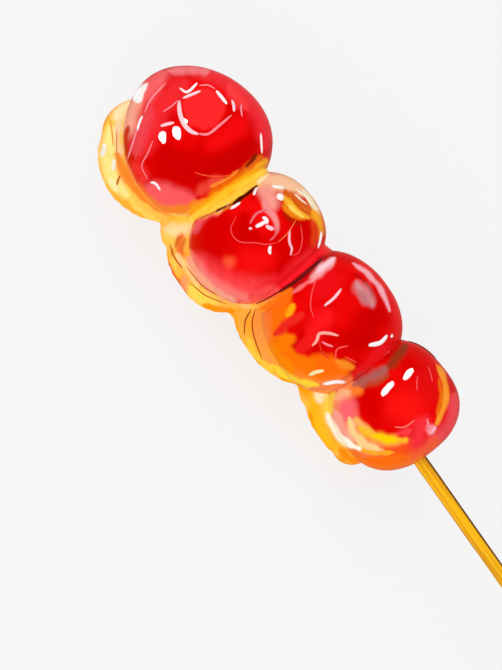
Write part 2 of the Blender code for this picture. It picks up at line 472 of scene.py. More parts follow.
def waver(drawn):
    """A slow unevenness over the picture's plane, from -1 to 1."""
    total = np.zeros(len(drawn))
    for number, rates in enumerate(WAVER_RATES):
        total += np.sin(drawn @ np.array(rates) + WAVER_SHIFT * number)
    return total / len(WAVER_RATES)


def thickness(share):
    """How full a stroke is, from its start at 0 to its end at 1."""
    return np.maximum(THIN_END, np.sqrt(np.maximum(0, 1 - (2 * share - 1) ** END_BLUNTNESS)))


def stroke_cover(drawn, line, width, softness):
    """How much a stroke along a line covers each drawn point, from 0 to 1."""
    reach = width * (1 + softness) / 2 + WAVER
    near = np.all((drawn > line.min(0) - reach) & (drawn < line.max(0) + reach), axis=1)
    points = drawn[near]
    uneven = waver(points) * min(WAVER, WAVER_SHARE * width)
    cover = np.zeros(len(points))
    spans = list(zip(line, line[1:])) or [(line[0], line[0])]
    for number, (start, end) in enumerate(spans):
        span = end - start
        share = np.clip((points - start) @ span / max(span @ span, TINY), 0, 1)
        distance = np.linalg.norm(points - start - share[:, None] * span, axis=1) + uneven
        full = thickness((number + share) / len(spans)) if len(line) > 1 else 1.0
        half = width / 2 * full
        cover = np.maximum(cover, soft_step(-distance, -half * (1 + softness), -half * (1 - softness)))
    whole = np.zeros(len(drawn))
    whole[near] = cover
    return whole


def store(piece, colours, cover):
    """Keeps a colour and how much it covers for each point, as attributes that a finish can read."""
    colour_layer = piece.data.attributes.new(PAINT, "FLOAT_VECTOR", "POINT")
    colour_layer.data.foreach_set("vector", np.asarray(colours, np.float32).ravel())
    cover_layer = piece.data.attributes.new(COVER, "FLOAT", "POINT")
    cover_layer.data.foreach_set("value", np.asarray(cover, np.float32))


def paint(piece, strokes):
    """Paints strokes of (points, width in mm, softness, screen colour) over each other."""
    drawn, shown = as_seen(piece)
    layer = np.zeros((len(drawn), 4))
    for points, width, softness, colour in strokes:
        line = np.array(smooth_line(points, PAINT_STEP))
        share = stroke_cover(drawn, line, width, softness)[:, None]
        layer = layer * (1 - share) + np.array([*rgb(*colour), 1]) * share
    layer *= shown[:, None]
    store(piece, layer[:, :3], layer[:, 3])
    print(f"{piece.name}: {len(strokes)} strokes of paint")


def painted_over(place, colour):
    """The painted strokes over a plain colour. The paint is stored as a colour times its own cover."""
    layer = place.node("Attribute", {"attribute_name": PAINT}, {}, "Color")
    cover = place.node("Attribute", {"attribute_name": COVER}, {}, "Fac")
    dimmed = cover.mixed(colour, (0, 0, 0))
    settings = {"data_type": "RGBA", "blend_type": "ADD"}
    inputs = {"Factor": 1.0, FIRST_COLOUR: dimmed, SECOND_COLOUR: layer}
    return layer.node("Mix", settings, inputs, MIXED_COLOUR)


# %% [markdown]
# ## The fruit
# Each fruit keeps the frame's form, but the frame's flat faces would show in every reflection. Modelling
# a ball afresh would lose the dents where fruits press together. So a copy of the frame's own piece is
# rounded by subdivision, then swollen by the thickness of the clear sugar film that coats it, and a slow
# wave pushes the film in and out, as poured sugar never sets quite even.

# %% Shape of the fruit
FILM = 0.4 * MM
FILM_WAVE = 0.28 * MM
FILM_WAVE_SIZE = 9 * MM
FRUIT_LEVELS = 3


def ripples(name, size, depth):
    """A cloudy texture that pushes a surface in and out."""
    texture = bpy.data.textures.new(name, "CLOUDS")
    texture.noise_scale = size
    texture.noise_depth = depth
    return texture


film_texture = ripples("uneven_film", FILM_WAVE_SIZE, 1)


def coated_fruit(node, name):
    """A frame fruit, rounded and swollen by its film of clear sugar."""
    piece = copy_of(node, name)
    apply(piece, "SUBSURF", levels=FRUIT_LEVELS, render_levels=FRUIT_LEVELS)
    apply(piece, "DISPLACE", strength=FILM, mid_level=0.0)
    apply(piece, "DISPLACE", texture=film_texture, strength=FILM_WAVE, mid_level=0.5)
    pick(piece)
    bpy.ops.object.shade_smooth()
    print(f"{name}: {triangles(piece)} triangles")
    return piece


coated = {}
for node in FRUITS:
    coated[node] = coated_fruit(node, node.replace("berry", "hawthorn"))

# %% [markdown]
# Hawthorn skin is a deep red that drifts a little, and the sugar over it is what shines. A glass shell
# round each fruit could carry that shine, but the film is so thin that a coat on the red does the same
# and bends no light. The coat's index is lower than sugar's, so that the red isn't veiled.

# %% Red under the sugar
DEEP_RED = rgb(212, 0, 0)
BRIGHT_RED = rgb(236, 8, 8)
SKIN_CLOUD = 11 * MM
SKIN_CLOUD_EDGES = (0.4, 0.66)
CLOUD_DETAIL = 2.0
COAT_GLOSS = 1.22


def hawthorn_finish(name):
    """Red skin under clear sugar: drifting reds, with the painted strokes over them, painted shade,
    highlights and reflections among them.
    """
    material, shader, place = new_finish(name)
    cloud = place.noise(SKIN_CLOUD, CLOUD_DETAIL).step(*SKIN_CLOUD_EDGES)
    set_inputs(
        shader,
        Base_Color=painted_over(place, cloud.mixed(DEEP_RED, BRIGHT_RED)),
        Roughness=0.4,
        Specular_IOR_Level=0.0,
        Coat_Weight=1.0,
        Coat_Roughness=0.02,
        Coat_IOR=COAT_GLOSS,
    )
    return material


skin = hawthorn_finish("sugared_hawthorn")

# %% [markdown]
# ## The colours, fruit by fruit
# The names below are colours as they look on a screen. The ambers, yellows and reds are the sugar's and the
# skin's own colours. The deeper crimson and the dark browns of the seams are painted shade, the pinks and
# salmon are painted reflections of the pale floor, and the pale pink and near-white are painted highlights.
# The seams come first, because the paint of a seam runs over both fruits and the sugar between them.

# %% Colours and seams
# Painted shade: the deeper crimson where a fruit's side turns from the light.
CRIMSON_SHADE = (202, 0, 0)
SCARLET = (254, 38, 40)
# Pink and salmon are painted reflections of the pale floor along the fruits' edges.
PINK_REFLECTION = (253, 92, 96)
# Pale pink is a painted highlight.
PALE_PINK_HIGHLIGHT = (246, 168, 172)
SALMON_REFLECTION = (252, 168, 144)
AMBER = (255, 182, 24)
YELLOW = (255, 214, 70)
CREAM = (255, 240, 190)
# A painted highlight, not the sugar's own colour.
PAINTED_HIGHLIGHT_WHITE = (255, 252, 246)
# Umber and shadow are painted shade in the seams between fruits.
UMBER_SEAM_SHADE = (128, 52, 30)
SHADOW = (74, 10, 2)

# Each seam is the amber of the sugar fillet between two fruits, with painted shade as a dark line where they
# meet, and pale pink and near-white painted highlights beside it.
SEAM_1_2 = [
    ([(-20.8, -9.8), (-20, -5), (-19.9, 0), (-20.4, 5), (-21.2, 10)], 2.8, 0.7, AMBER),
    ([(-19.4, -9.6), (-18.9, -5), (-18.8, 0), (-19.2, 5), (-20.2, 10)], 2.2, 0.7, YELLOW),
    ([(-18.5, -9), (-18.3, -6)], 0.8, 0.5, CREAM),
    ([(-17.8, -5.2), (-17.6, -2), (-17.7, 1.4)], 0.9, 0.3, SHADOW),
    ([(-17.8, 1.2), (-18.5, 5.6)], 0.5, 0.4, UMBER_SEAM_SHADE),
    ([(-18.4, 5), (-19.3, 9)], 0.4, 0.6, (196, 96, 50)),
]
SEAM_2_3 = [
    ([(1.4, -12), (2.2, -4), (2.4, 0), (2.2, 4), (1.2, 9)], 4.4, 0.6, (240, 26, 36)),
    ([(3, -12.4), (3.2, -9), (3.8, -4), (4.2, 0), (4, 4)], 1.8, 0.5, (196, 8, 14)),
    ([(2.6, 4.4), (2, 7), (1.2, 9.4)], 3.0, 0.6, (252, 76, 80)),
    ([(4.6, 1.6), (4.8, 5), (4.4, 9)], 2.0, 0.5, (255, 116, 20)),
    ([(4.6, -9.8), (4.9, -6.6), (5.4, -3)], 1.9, 0.6, PALE_PINK_HIGHLIGHT),
    ([(5.3, -3.6), (5.4, -1), (5.4, 1.6)], 0.7, 0.7, (250, 120, 120)),
    ([(4.4, -10), (4.5, -8), (4.8, -5)], 1.0, 0.7, (252, 214, 222)),
]
# The grey-brown band in the third seam is painted shade and a painted greyish reflection over the sugar
# collar.
SEAM_3_4 = [
    ([(28.8, -11.8), (29.4, -9), (30.6, -5.6)], 1.8, 1.0, (146, 54, 24)),
    ([(31.7, -5.4), (31.5, -2), (30.5, 1)], 1.1, 1.0, (184, 66, 32)),
    ([(30.3, -5.4), (30.1, -2.6), (29.2, 2)], 2.0, 0.9, (168, 96, 90)),
]

# %% [markdown]
# A lobe of sugar starts where a ball ends, and the eye takes the two together: a band of orange or cream
# lies half on the ball's edge and half on the lobe. The orange and yellow bands are the amber's colour. The
# pink band under the second fruit is a painted reflection of the pale floor, and the near-white arc under
# the fourth is a painted highlight. Such strokes are kept in lists of their own and painted on both pieces.

# %% Bands where the lobes meet the fruit
EDGE_1 = [
    (
        [(-40.5, 15.4), (-36, 16.4), (-31, 16.4), (-25.4, 14.6), (-22.8, 10.8), (-21.9, 6)],
        2.4, 0.6, (253, 140, 44),
    ),
    ([(-34, 17.6), (-29, 17.3), (-24.4, 15.2), (-21.8, 11.6), (-20.9, 7)], 1.3, 0.5, (255, 202, 80)),
]
EDGE_2 = [
    ([(-0.4, 12.8), (-4, 14.9), (-9, 16), (-13.6, 15.8)], 1.7, 0.6, (254, 168, 142)),
]
EDGE_3 = [
    ([(4, 10), (7.6, 12.6), (12.4, 13.9), (16, 13.8)], 1.8, 0.5, (255, 160, 70)),
    ([(15.6, 14.3), (19.4, 13), (22.4, 11), (24.6, 8.6)], 1.6, 0.6, (255, 216, 56)),
]
EDGE_4 = [
    ([(25.4, 8.8), (28, 10)], 2.4, 0.5, (255, 236, 190)),
    ([(27.4, 7), (29, 9.2), (31.4, 10.6)], 1.9, 0.7, (255, 228, 70)),
    ([(30.8, 10.5), (34, 11.3), (38, 10.8), (41, 9.4)], 1.5, 0.5, (255, 254, 232)),
]

# %% [markdown]
# The first two fruits turn pink along their lower edge, a painted reflection of the pale floor. The last two
# turn orange there, where the amber beside them shines through. Over the skin's own reds each list also
# paints light: darker crimson patches are painted shade, pink and salmon along the rims are painted
# reflections, and white, cream and pale pink strokes are painted highlights. Each list runs roughly from
# broad soft changes to narrow sharp ones, because a later stroke lies over an earlier one.

# %% First fruit
paint(coated["berry_1"], [
    ([(-45.5, -9), (-42, -12.4), (-36, -14.8), (-29, -14.6), (-24, -12)], 4.4, 0.8, (244, 36, 50)),
    # Painted reflection: pink along the upper left rim.
    ([(-49, -4), (-46.6, -8), (-44, -11)], 1.8, 0.9, (246, 124, 130)),
    ([(-38.5, -12.6), (-33, -13)], 2.4, 0.9, (252, 58, 60)),
    ([(-44.6, -5), (-44, 2), (-41, 7), (-38, 11)], 5.4, 0.8, (240, 40, 46)),
    ([(-31, -11), (-29.6, -6), (-30, -2)], 5, 0.8, (240, 10, 14)),
    ([(-38, -5.6)], 8.8, 0.12, SCARLET),
    ([(-26, -9), (-25.6, -3), (-27.8, 3), (-31.5, 6), (-35, 7)], 6.4, 0.7, CRIMSON_SHADE),
    ([(-33, 13.4), (-37, 13.6)], 2.6, 0.9, (246, 44, 46)),
    ([(-23.6, 8.4), (-26, 11.2), (-30.5, 14)], 5.2, 0.45, PINK_REFLECTION),
    ([(-23.6, 0), (-23.8, 6)], 2.2, 0.9, (240, 70, 56)),
    ([(-49, -3), (-48.4, 1), (-47, 5)], 3.4, 0.8, (248, 98, 102)),
    ([(-44.5, 4), (-42, 8), (-39, 12)], 3.2, 0.8, (236, 66, 76)),
    ([(-48.4, 5.4), (-46.6, 8), (-44.6, 10.4), (-43.2, 13)], 4.0, 0.7, SALMON_REFLECTION),
    ([(-49.3, 1.6), (-48.9, 3.4), (-47.8, 5.2)], 2.0, 0.35, PAINTED_HIGHLIGHT_WHITE),
    ([(-42, 14), (-38, 15.4), (-33, 15.8), (-28, 15)], 1.8, 0.7, (252, 84, 56)),
    ([(-44.2, 10), (-42, 12.4), (-39.6, 14)], 1.5, 0.5, (206, 40, 15)),
    ([(-22.4, -9.4), (-21.6, -5), (-21.6, 0), (-22.2, 4)], 2.4, 0.6, (238, 100, 8)),
    ([(-21.4, -9), (-20.9, -5), (-21, 0), (-21.6, 5)], 0.9, 0.5, AMBER),
    ([(-23.4, -9), (-22.8, -7.4), (-22.5, -5.8)], 0.8, 0.5, (130, 30, 0)),
    ([(-22.9, -4.4), (-22.8, -1), (-23.4, 3)], 0.5, 0.6, (255, 150, 50)),
    *EDGE_1,
    *SEAM_1_2,
])

# %% Second fruit
paint(coated["berry_2"], [
    ([(1, -8), (2.2, -4), (2, 1)], 3.4, 0.9, (244, 28, 40)),
    ([(-16.2, 5), (-15, 9), (-12, 12)], 7, 0.7, (212, 0, 0)),
    ([(-14, 0.6), (-11, 3), (-8.4, 1)], 3.8, 0.8, CRIMSON_SHADE),
    ([(-4, 2), (-5, 6)], 6, 0.8, (240, 12, 12)),
    ([(-7.8, 9)], 2.2, 1.0, (255, 80, 48)),
    ([(2.4, 3), (0, 8.4), (-4, 12), (-9, 14.2), (-13.6, 15.2)], 5.2, 0.9, (252, 66, 70)),
    ([(2.2, 8.6), (-1, 12), (-5, 14.2), (-10.4, 15.4), (-14.6, 14.8)], 2.8, 0.8, (254, 122, 118)),
    ([(-18, 4), (-18.8, 8), (-17.6, 12.4)], 1.5, 0.9, (240, 84, 96)),
    # Painted highlight: a cream and peach patch on the upper left, with near-white strokes.
    ([(-17.4, -6), (-16.4, -9), (-14, -11.6), (-10.6, -12.8)], 4.4, 0.5, (252, 200, 156)),
    ([(-16.6, -5.6), (-14.6, -6.4), (-12.4, -5.6)], 3.4, 0.8, (244, 152, 138)),
    ([(-13, -9.6), (-9.6, -10.6), (-5.6, -11.6)], 2.6, 0.5, (222, 96, 24)),
    ([(-11.6, -12.8), (-8.6, -13.1), (-5.4, -12.7)], 1.2, 0.5, (255, 244, 200)),
    ([(-12.2, -8.7), (-9, -9.2), (-5.8, -10.3)], 1.9, 0.7, (250, 176, 44)),
    ([(-11.2, -7.4), (-9, -7.8), (-6.6, -8.8)], 1.1, 0.8, (236, 130, 20)),
    ([(-11.4, -9.9), (-8.4, -10.2), (-5.8, -11.2)], 0.6, 0.8, (210, 78, 10)),
    ([(-10.4, -8.6), (-8.4, -8.9), (-6.6, -9.6)], 0.7, 0.9, (255, 216, 96)),
    ([(-9.8, -6.6), (-7.6, -7), (-5.4, -8.4)], 0.8, 0.8, (176, 24, 0)),
    ([(-6.2, -12.1), (-3.4, -11.7), (-1.2, -10)], 1.9, 0.8, (254, 170, 26)),
    ([(-4.8, -10.4), (-2.6, -10.2), (0, -7.4)], 1.5, 0.8, (228, 58, 10)),
    ([(-14.6, -4.9), (-12, -4.4), (-9, -4.3), (-7.2, -3)], 1.3, 0.6, (238, 136, 136)),
    *EDGE_2,
    *SEAM_1_2,
    *SEAM_2_3,
])

# %% Third fruit
paint(coated["berry_3"], [
    ([(8, -14), (13, -15.6), (20, -15.2), (25, -12)], 2.6, 0.8, (238, 16, 22)),
    ([(19, -9), (21.6, -5.4), (20, -2.4)], 6.6, 0.7, CRIMSON_SHADE),
    ([(8, -8), (8.6, -3)], 4.4, 0.8, (232, 14, 20)),
    ([(13.6, -2), (14.6, 3)], 4.2, 0.9, (244, 22, 28)),
    ([(26.6, -8), (27.2, -3)], 2.6, 0.8, (242, 22, 32)),
    (
        [(4.8, 3), (6.6, 6.4), (9, 9.8), (14, 12.2), (19.6, 10.6), (23.4, 6.6), (25.6, 2.8)],
        6, 0.35, (255, 114, 10),
    ),
    ([(20, 6.4), (23.4, 3.4)], 4, 0.5, (255, 106, 8)),
    ([(14.6, 9.8), (18, 9.4), (20.4, 7.4)], 3.4, 0.5, (255, 116, 6)),
    ([(5, 9.8), (9, 12.3), (14, 13), (19, 12.2), (23, 9.8), (26.4, 6)], 2.6, 0.6, (255, 138, 40)),
    ([(13, 7.4), (13.2, 11)], 2.8, 0.5, (255, 122, 4)),
    ([(5, 9), (7.6, 11), (10, 12)], 2.4, 1.0, (255, 140, 72)),
    ([(12, 12.4), (15.6, 12.6), (19, 11.4)], 2.6, 0.6, (255, 136, 0)),
    ([(10.3, 3), (10.2, 6.6), (10.4, 9.8)], 2.0, 0.7, (234, 40, 28)),
    ([(15.9, 2.6), (16.1, 5.6), (16.2, 8.2)], 2.6, 0.5, (238, 26, 28)),
    ([(7.6, 2.8), (8.1, 4), (8.8, 5.4)], 1.4, 0.6, (255, 170, 16)),
    ([(22.8, 2.2), (24.6, 1.4), (25.8, 0.4)], 1.7, 0.8, (250, 140, 36)),
    ([(28.2, 1.6), (27.4, 5), (25.8, 8.4), (23.6, 11)], 3.2, 0.7, (252, 136, 76)),
    ([(7.8, -12.7), (12, -14), (16, -14.2), (20.6, -13.2)], 1.1, 0.6, (250, 170, 182)),
    ([(9.4, -11.5), (12, -12.3), (15.4, -12.3)], 0.5, 0.6, (170, 4, 10)),
    # Painted reflection: a greyish patch on the upper shoulder.
    ([(11.6, -10.9), (14.4, -10.7), (17.2, -10.9)], 2.3, 1.0, (212, 140, 144)),
    ([(13.6, -10.2), (16.8, -10.2)], 1.5, 1.0, (192, 112, 116)),
    ([(27.8, -10), (28.3, -4), (27.6, 1)], 2.6, 0.8, (240, 24, 28)),
    ([(28.8, -3.4), (28.2, 1.4)], 0.9, 1.0, (176, 84, 84)),
    *EDGE_3,
    *SEAM_2_3,
])

# %% Fourth fruit
paint(coated["berry_4"], [
    ([(36, -11), (40, -10)], 6, 0.8, (226, 12, 14)),
    ([(38, -3), (41, -5)], 7, 0.8, (242, 18, 14)),
    # Painted reflection: pink along the right rim.
    ([(43.4, -14), (47, -11), (48.8, -7), (49, -2)], 2.6, 0.8, (246, 72, 82)),
    ([(35.6, -14.7), (38.6, -14.4), (41.6, -13), (44.4, -10.4), (46.2, -7.4)], 1.3, 0.6, (255, 156, 44)),
    ([(38.6, -13.3), (42, -11.6), (44.6, -8.6)], 0.8, 0.8, (240, 116, 10)),
    ([(30, 5), (33, 8), (37, 8.8), (41, 8.2), (44.6, 4.8), (46.4, 0.6)], 5, 0.7, (253, 138, 84)),
    ([(29.2, 2.4), (28.8, 5.6), (30.2, 9)], 3.4, 0.8, (252, 150, 90)),
    ([(46.6, -1), (46.4, 3), (44.4, 6)], 3.4, 0.7, (250, 78, 28)),
    ([(49.8, -3), (49.8, 1), (48.6, 5), (46, 8.8), (42.6, 11), (39, 11.4)], 2.8, 1.0, (255, 120, 26)),
    ([(49.2, -5.4), (49.8, -2.6), (49.4, 0.4)], 3.4, 1.0, (250, 94, 54)),
    ([(44, -5.6), (46, -3), (47.2, -0.8)], 3.4, 1.0, (246, 48, 58)),
    ([(46.2, -6.4), (47, -4.8)], 1.6, 1.0, (252, 150, 160)),
    ([(48.4, 2), (46.8, 5.6), (44, 8.8)], 2.4, 0.7, (255, 110, 14)),
    ([(44.2, -2), (43, 1)], 1.4, 0.8, (250, 60, 66)),
    ([(30.6, 1.8), (29.8, 4)], 2.2, 0.7, (252, 124, 40)),
    ([(29.6, 4.4), (29.2, 7)], 2.6, 0.6, (252, 186, 134)),
    ([(31.4, 5.6), (34, 7.8)], 3.8, 0.7, (252, 100, 112)),
    ([(31.4, 8.8), (35, 9.8), (39, 9.2)], 1.9, 0.6, (252, 160, 142)),
    ([(34.4, 7.2), (37.6, 8.3), (41.4, 7.6), (44, 5.6)], 1.8, 0.6, (255, 208, 140)),
    ([(35.4, 6.3), (38, 5.8), (40.6, 4.6)], 1.4, 0.7, (250, 176, 96)),
    ([(45.2, 0.2), (43, 3), (40.4, 5.2), (37.6, 6.6)], 2.0, 0.8, (254, 188, 40)),
    ([(44, 1.8), (42.4, 3.5), (40.4, 5)], 1.3, 0.7, (255, 206, 0)),
    ([(41, 9.4), (43.8, 7), (46, 3.6)], 0.9, 0.6, (255, 170, 40)),
    *EDGE_4,
    *SEAM_3_4,
])

for node in FRUITS:
    piece = coated[node]
    piece.data.materials.append(skin)
    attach(piece, BODY)
    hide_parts(node)

# %% [markdown]
# ## The sugar that ran off
# Boiled sugar sets as clear amber glass. Where a lobe meets a fruit it creeps up in a smooth fillet. A
# union of the fruits and the lobes, rebuilt on a fine grid and relaxed, gives that fillet by itself. The
# fruits in it are thinner than the coated ones, so they stay hidden, and the glass has no inner wall. The
# last drips to run down made both ends a little fuller, so a bead is fused in at each.

# %% Shape of the run-off
RUN_OFF_GRID = 0.5 * MM
HIDDEN_FRUIT = -0.2 * MM
CORE_LEVELS = 1
LAST_DRIPS = (((-42, -4, 5.6), (8.5, 9, 5.5)), ((40, -5, 5.4), (4.6, 4.6, 5.3)))  # places and radii in mm
RELAX_SHARE = 0.5
RELAX_ROUNDS = 12

run_off = copy_of("sugar", "run_off_sugar")
cores = []
for node in FRUITS:
    core = copy_of(node, "core_" + node)
    apply(core, "SUBSURF", levels=CORE_LEVELS, render_levels=CORE_LEVELS)
    apply(core, "DISPLACE", strength=HIDDEN_FRUIT, mid_level=0.0)
    cores.append(core)
for place, radii in LAST_DRIPS:
    bpy.ops.mesh.primitive_uv_sphere_add(location=Vector(place) * MM, scale=Vector(radii) * MM)
    cores.append(bpy.context.object)
    bpy.ops.object.transform_apply(location=True, rotation=True, scale=True)
pick(run_off)
for core in cores:
    core.select_set(True)
bpy.ops.object.join()
apply(run_off, "REMESH", mode="VOXEL", voxel_size=RUN_OFF_GRID)
apply(run_off, "SMOOTH", factor=RELAX_SHARE, iterations=RELAX_ROUNDS)
pick(run_off)
bpy.ops.object.shade_smooth()
print(f"run-off: {triangles(run_off)} triangles")

# %% [markdown]
# The lobes are palest where they are thick and lit, and darkest along their rims, where the glass turns
# away. Real glass does that by itself, but not in just these places, so the bands are painted. The bands
# and seams of the fruits are painted here again, so that none of them stops at the join.

# %% Paint on the run-off
RIM = (246, 160, 30)
DARK_RIM = (226, 88, 14)
paint(run_off, [
    ([(-49.4, 8), (-49, 12), (-47, 16), (-43, 19.6), (-38, 21.2)], 1.5, 0.6, RIM),
    ([(-38, 21.2), (-33, 20.8), (-28, 19), (-23.4, 17)], 1.4, 0.6, (252, 176, 50)),
    ([(-48, 7), (-47.4, 11)], 2.8, 0.7, (254, 226, 172)),
    ([(-46.4, 10.6), (-43.6, 13.4), (-40, 15)], 1.5, 0.6, (252, 206, 160)),
    ([(-46, 13.6), (-42, 17), (-37, 18.6), (-32, 18.4)], 3.4, 0.6, (255, 228, 136)),
    ([(-31.6, 18.6), (-27, 17.8), (-23.6, 16.2)], 1.6, 0.6, (255, 214, 94)),
    ([(-37.4, 19.6), (-34, 20)], 1.3, 0.8, (255, 238, 166)),
    *EDGE_1,
    ([(-22.6, 13.6), (-20.4, 10.4), (-19.8, 7)], 3, 0.6, YELLOW),
    ([(-21.6, 16), (-19.6, 13.6), (-18.8, 11)], 2.6, 0.7, (255, 226, 160)),
    ([(-22, 18), (-19, 19.2), (-16, 19.4)], 1.3, 0.5, AMBER),
    ([(-18.6, 14), (-16.4, 15.8), (-14.4, 16.6)], 1.6, 0.7, (238, 120, 46)),
    ([(-15.4, 17.2), (-11, 17.2), (-7.6, 17.4)], 1.5, 0.7, (254, 208, 136)),
    ([(-17, 19.7), (-12, 20.6), (-7.6, 20.4)], 1.3, 0.5, DARK_RIM),
    ([(-18.8, 14.6), (-17.2, 16.6)], 0.6, 0.7, (208, 98, 34)),
    ([(-17.6, 13.8), (-15.6, 15.8)], 0.5, 0.7, (218, 106, 40)),
    ([(-17.4, 17.2), (-16, 18.3)], 0.5, 0.7, (196, 88, 26)),
    ([(-10.8, 18.9), (-8.2, 19.7)], 1.5, 0.9, (253, 156, 100)),
    ([(-8.4, 19), (-5, 18.2), (-2.4, 16.4)], 2.4, 0.6, (255, 218, 84)),
    ([(-3.4, 18.8), (-0.8, 16.8), (1.2, 14.6)], 1.5, 0.6, (254, 150, 14)),
    *EDGE_2,
    ([(0.4, 12.4), (2.4, 10.8)], 1.6, 0.7, (255, 206, 130)),
    ([(2.6, 12.4), (4.6, 14.6), (8, 16)], 2.4, 0.6, (254, 178, 66)),
    ([(8, 15.4), (12, 16.2), (17, 15)], 2.0, 0.6, (255, 202, 64)),
    *EDGE_3,
    ([(2.4, 14.6), (6, 16.5), (11, 17), (16, 16.2)], 0.8, 0.6, (244, 164, 30)),
    ([(19, 14.4), (22, 12.8), (25, 10.8)], 1.2, 0.6, (255, 166, 4)),
    ([(26, 10.6), (30, 13), (34, 14), (38, 13.6)], 3.0, 0.7, (254, 188, 26)),
    ([(28, 13.4), (33, 15), (39, 14.6), (43, 12.8)], 0.9, 0.6, (240, 160, 10)),
    ([(39, 12.8), (42, 12), (44, 9.6)], 2.2, 0.7, (248, 138, 8)),
    *EDGE_4,
    *SEAM_1_2,
    *SEAM_2_3,
    *SEAM_3_4,
])

# %% [markdown]
# Set sugar is clear, but the floor shows through it and washes its colours out. The finish is therefore
# mostly body colour with a little glass in it, and a faint glow stands for the light that comes up
# through the amber from the table.

# %% Amber glass
HONEY = rgb(255, 202, 84)
DARK_HONEY = rgb(250, 170, 44)
HONEY_CLOUD = 8 * MM
HONEY_CLOUD_EDGES = (0.38, 0.62)
AMBER_GLOW = 0.18
CLEAR_AMBER = (1.0, 0.86, 0.4)
AMBER_DEPTH = 60

amber, shader, place = new_finish("amber_glass")
cloud = place.noise(HONEY_CLOUD, CLOUD_DETAIL).step(*HONEY_CLOUD_EDGES)
honey = painted_over(place, cloud.mixed(HONEY, DARK_HONEY))
set_inputs(
    shader,
    Base_Color=honey,
    Emission_Color=honey,
    Emission_Strength=AMBER_GLOW,
    Roughness=0.03,
    IOR=1.45,
    Transmission_Weight=0.1,
)
absorption = amber.node_tree.nodes.new("ShaderNodeVolumeAbsorption")
absorption.inputs["Color"].default_value = (*CLEAR_AMBER, 1)
absorption.inputs["Density"].default_value = AMBER_DEPTH
output = amber.node_tree.nodes["Material Output"]
amber.node_tree.links.new(absorption.outputs["Volume"], output.inputs["Volume"])
run_off.data.materials.append(amber)
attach(run_off, BODY)
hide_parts("sugar")
